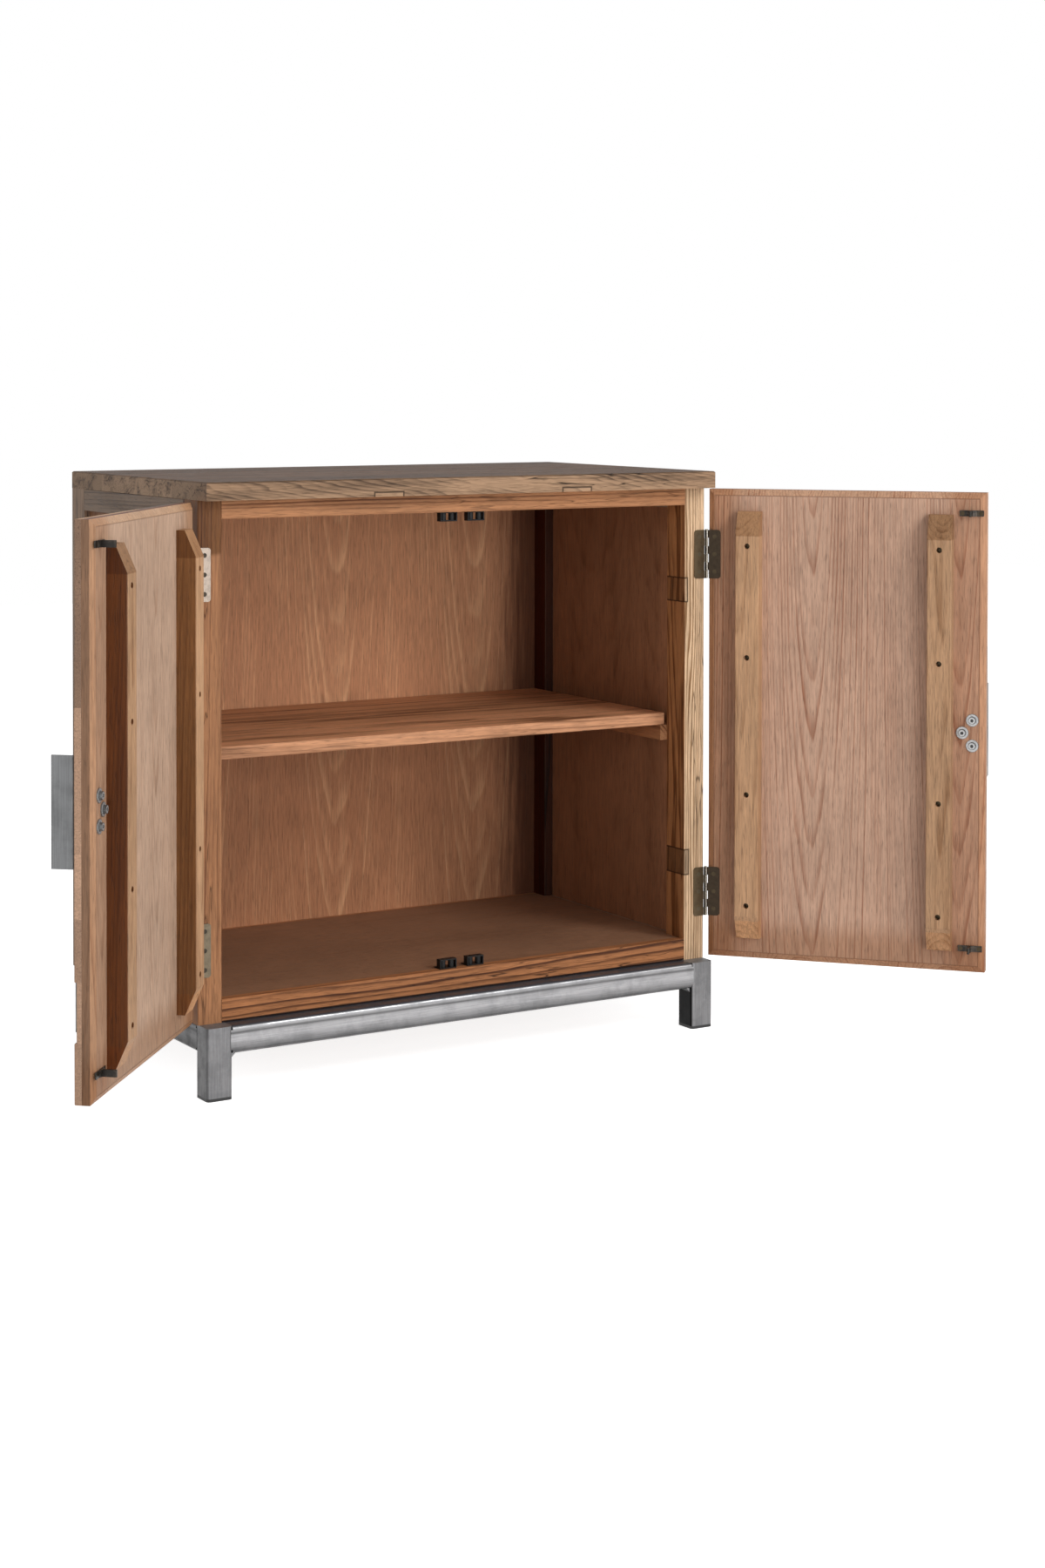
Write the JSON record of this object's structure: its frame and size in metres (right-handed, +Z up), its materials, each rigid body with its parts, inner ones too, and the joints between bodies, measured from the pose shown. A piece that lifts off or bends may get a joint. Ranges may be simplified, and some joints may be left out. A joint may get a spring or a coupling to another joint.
{
  "type": "two-door cabinet",
  "caption": "Low two-door cabinet of reclaimed wood on a steel tube base, with hinged doors, a shelf and roller catches.",
  "frame": {"origin": "on the floor, in the middle of the area covered by the cabinet with both doors open as pictured", "axes": "+X to the right seen from the front, +Y to the back, +Z up"},
  "size_m": [1.415, 0.7234, 0.8],
  "materials": {
    "top_wood": "worn, matt",
    "frame_wood": "oiled, weathered",
    "panel_wood": "satin",
    "shelf_wood": "satin",
    "door_wood": "satin",
    "block_wood": "weathered, matt",
    "base_steel": "brushed",
    "pull_steel": "brushed",
    "bolt_steel": "zinc plated",
    "screw_steel": "zinc plated",
    "dark_bronze": "antique bronze",
    "black_steel": "satin black",
    "roller_plastic": "matt black",
    "black_plastic": "matt black"
  },
  "bodies": {
    "carcass": {"top_board": "top_wood", "left_front_post": "frame_wood", "right_front_post": "frame_wood", "left_back_post": "frame_wood", "right_back_post": "frame_wood", "left_top_rail": "frame_wood", "right_top_rail": "frame_wood", "left_low_rail": "frame_wood", "right_low_rail": "frame_wood", "front_top_rail": "frame_wood", "front_low_rail": "frame_wood", "back_top_rail": "frame_wood", "back_low_rail": "frame_wood", "left_side_panel": "panel_wood", "right_side_panel": "panel_wood", "back_panel": "panel_wood", "floor_board": "panel_wood", "shelf": "shelf_wood", "shelf_cleats": "panel_wood", "base_leg_front_left": "base_steel", "base_leg_front_right": "base_steel", "base_leg_back_left": "base_steel", "base_leg_back_right": "base_steel", "base_rail_front": "base_steel", "base_rail_back": "base_steel", "base_rail_left": "base_steel", "base_rail_right": "base_steel", "foot_caps": "black_plastic", "catch_cases": "black_steel", "hinge_frame_leaves": "dark_bronze", "hinge_pins": "screw_steel", "cabinet_screws": "screw_steel", "base_screws": "screw_steel"},
    "left_door": {"left_door_board": "door_wood", "left_door_blocks": "block_wood", "left_door_hinge_batten": "door_wood", "left_door_free_batten": "door_wood", "left_door_pull": "pull_steel", "left_pull_bolts": "bolt_steel", "left_hinge_door_leaves": "dark_bronze", "left_catch_strikes": "dark_bronze", "left_door_screws": "screw_steel"},
    "left_low_catch_left_roller": {"left_low_catch_left_roller": "roller_plastic"},
    "left_low_catch_right_roller": {"left_low_catch_right_roller": "roller_plastic"},
    "left_top_catch_left_roller": {"left_top_catch_left_roller": "roller_plastic"},
    "left_top_catch_right_roller": {"left_top_catch_right_roller": "roller_plastic"},
    "right_door": {"right_door_board": "door_wood", "right_door_blocks": "block_wood", "right_door_hinge_batten": "door_wood", "right_door_free_batten": "door_wood", "right_door_pull": "pull_steel", "right_pull_bolts": "bolt_steel", "right_hinge_door_leaves": "dark_bronze", "right_catch_strikes": "dark_bronze", "right_door_screws": "screw_steel"},
    "right_low_catch_left_roller": {"right_low_catch_left_roller": "roller_plastic"},
    "right_low_catch_right_roller": {"right_low_catch_right_roller": "roller_plastic"},
    "right_top_catch_left_roller": {"right_top_catch_left_roller": "roller_plastic"},
    "right_top_catch_right_roller": {"right_top_catch_right_roller": "roller_plastic"}
  },
  "joints": [
    {"name": "left_door_hinge", "type": "hinge", "parent": "carcass", "child": "left_door", "pos_m": [-0.4028, -0.06245, 0.4355], "axis": [0, 0, -1], "range_deg": [-131.5, 48.5]},
    {"name": "left_low_left_roller_turn", "type": "hinge", "parent": "carcass", "child": "left_low_catch_left_roller", "pos_m": [-0.0281, -0.04885, 0.1315], "axis": [0, 0, 1], "continuous": true},
    {"name": "left_low_right_roller_turn", "type": "hinge", "parent": "carcass", "child": "left_low_catch_right_roller", "pos_m": [-0.0149, -0.04885, 0.1315], "axis": [0, 0, 1], "continuous": true},
    {"name": "left_top_left_roller_turn", "type": "hinge", "parent": "carcass", "child": "left_top_catch_left_roller", "pos_m": [-0.0281, -0.04885, 0.7445], "axis": [0, 0, 1], "continuous": true},
    {"name": "left_top_right_roller_turn", "type": "hinge", "parent": "carcass", "child": "left_top_catch_right_roller", "pos_m": [-0.0149, -0.04885, 0.7445], "axis": [0, 0, 1], "continuous": true},
    {"name": "right_door_hinge", "type": "hinge", "parent": "carcass", "child": "right_door", "pos_m": [0.4028, -0.06245, 0.4355], "axis": [0, 0, 1], "range_deg": [-131.5, 48.5]},
    {"name": "right_low_left_roller_turn", "type": "hinge", "parent": "carcass", "child": "right_low_catch_left_roller", "pos_m": [0.0149, -0.04885, 0.1315], "axis": [0, 0, 1], "continuous": true},
    {"name": "right_low_right_roller_turn", "type": "hinge", "parent": "carcass", "child": "right_low_catch_right_roller", "pos_m": [0.0281, -0.04885, 0.1315], "axis": [0, 0, 1], "continuous": true},
    {"name": "right_top_left_roller_turn", "type": "hinge", "parent": "carcass", "child": "right_top_catch_left_roller", "pos_m": [0.0149, -0.04885, 0.7445], "axis": [0, 0, 1], "continuous": true},
    {"name": "right_top_right_roller_turn", "type": "hinge", "parent": "carcass", "child": "right_top_catch_right_roller", "pos_m": [0.0281, -0.04885, 0.7445], "axis": [0, 0, 1], "continuous": true}
  ]
}
